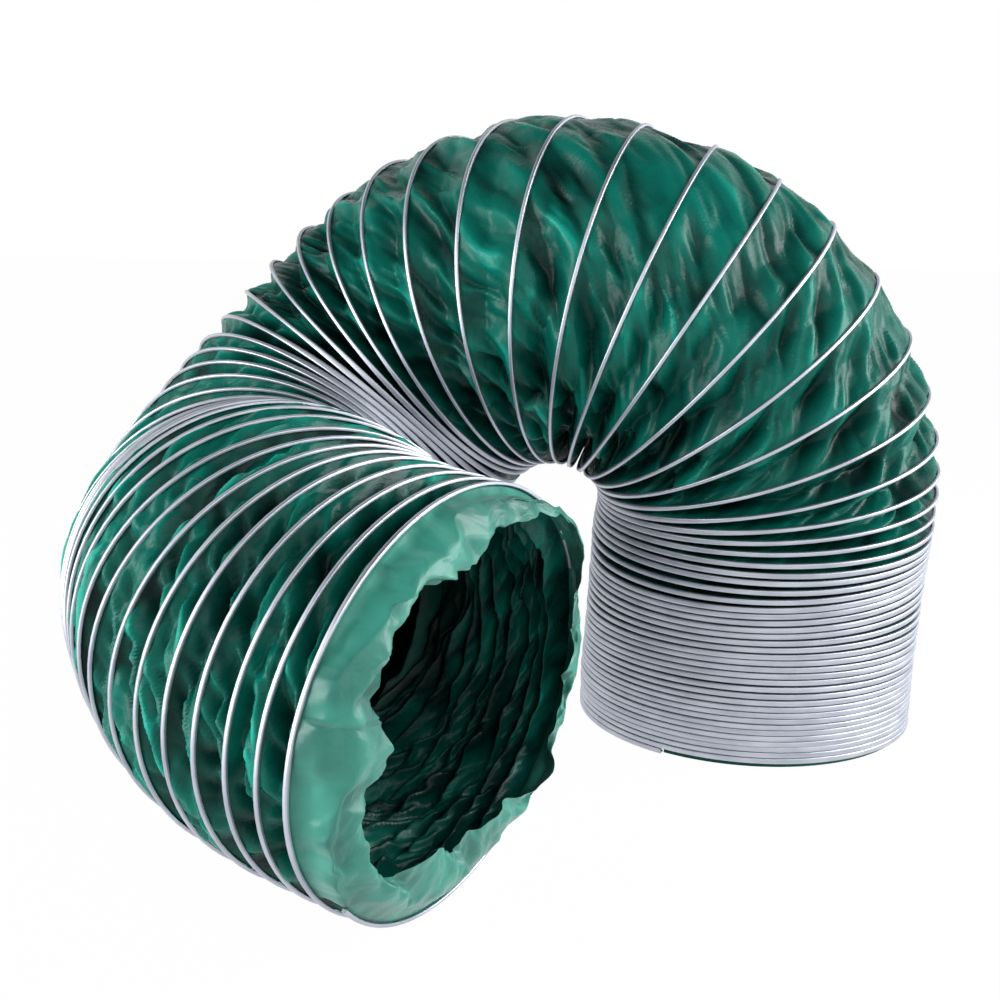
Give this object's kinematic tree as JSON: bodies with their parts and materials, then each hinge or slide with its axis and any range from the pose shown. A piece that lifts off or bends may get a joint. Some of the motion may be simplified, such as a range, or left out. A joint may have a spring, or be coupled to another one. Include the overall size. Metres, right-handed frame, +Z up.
{
  "type": "flexible air duct",
  "caption": "Round flexible air duct of coated fabric, held open by a spirally wound steel clip strip, standing on a closed stack of turns and arched over to lie on its open mouth.",
  "frame": {"origin": "centre of the duct's bottom end, on the floor that it stands on", "axes": "+Z up along the stack of closed turns, -X towards the side that the duct arches over to, -Y towards the open mouth's side"},
  "size_m": [0.7608, 0.7394, 0.5484],
  "materials": {
    "coated_fabric": "glossy dark green coating, creased",
    "raw_fabric": "paler uncoated side of the fabric, satin",
    "clip_steel": "bright zinc-coated strip"
  },
  "bodies": {
    "base": {"fabric_base": "coated_fabric", "clip_base": "clip_steel", "fabric_stack": "coated_fabric", "clip_stack": "clip_steel"},
    "shoulder": {"fabric_shoulder": "coated_fabric", "clip_shoulder": "clip_steel", "fabric_arch": "coated_fabric", "clip_arch": "clip_steel"},
    "drop": {"fabric_drop": "coated_fabric", "clip_drop": "clip_steel", "fabric_bend": "coated_fabric", "clip_bend": "clip_steel"},
    "neck": {"clip_heel": "clip_steel", "clip_after_heel": "clip_steel", "fabric_neck": "coated_fabric", "clip_neck": "clip_steel", "fabric_run": "coated_fabric", "clip_run": "clip_steel"},
    "mouth_end": {"fabric_mouth": "coated_fabric", "clip_mouth": "clip_steel", "clip_end": "clip_steel", "cuff_mouth": "raw_fabric"}
  },
  "joints": [
    {"name": "stack_stretch", "type": "slide", "parent": "base", "child": "shoulder", "axis": [0, 0, 1], "range_m": [0, 0.6], "deforming": ["fabric_stack", "clip_stack"]},
    {"name": "arch_open", "type": "hinge", "parent": "shoulder", "child": "drop", "pos_m": [-0.1614, 0.0465, 0.2447], "axis": [0.2671, 0.8963, 0.3541], "range_deg": [0, 30], "deforming": ["fabric_arch", "clip_arch"]},
    {"name": "bend_open", "type": "hinge", "parent": "drop", "child": "neck", "pos_m": [-0.3156, -0.1466, 0.2631], "axis": [0.6349, 0.2619, -0.7269], "range_deg": [0, 30], "deforming": ["fabric_bend", "clip_bend", "clip_after_heel"]},
    {"name": "mouth_stretch", "type": "slide", "parent": "neck", "child": "mouth_end", "axis": [0.874, -0.486, 0], "range_m": [-0.03, 0.15], "deforming": ["fabric_run", "clip_run"]}
  ]
}
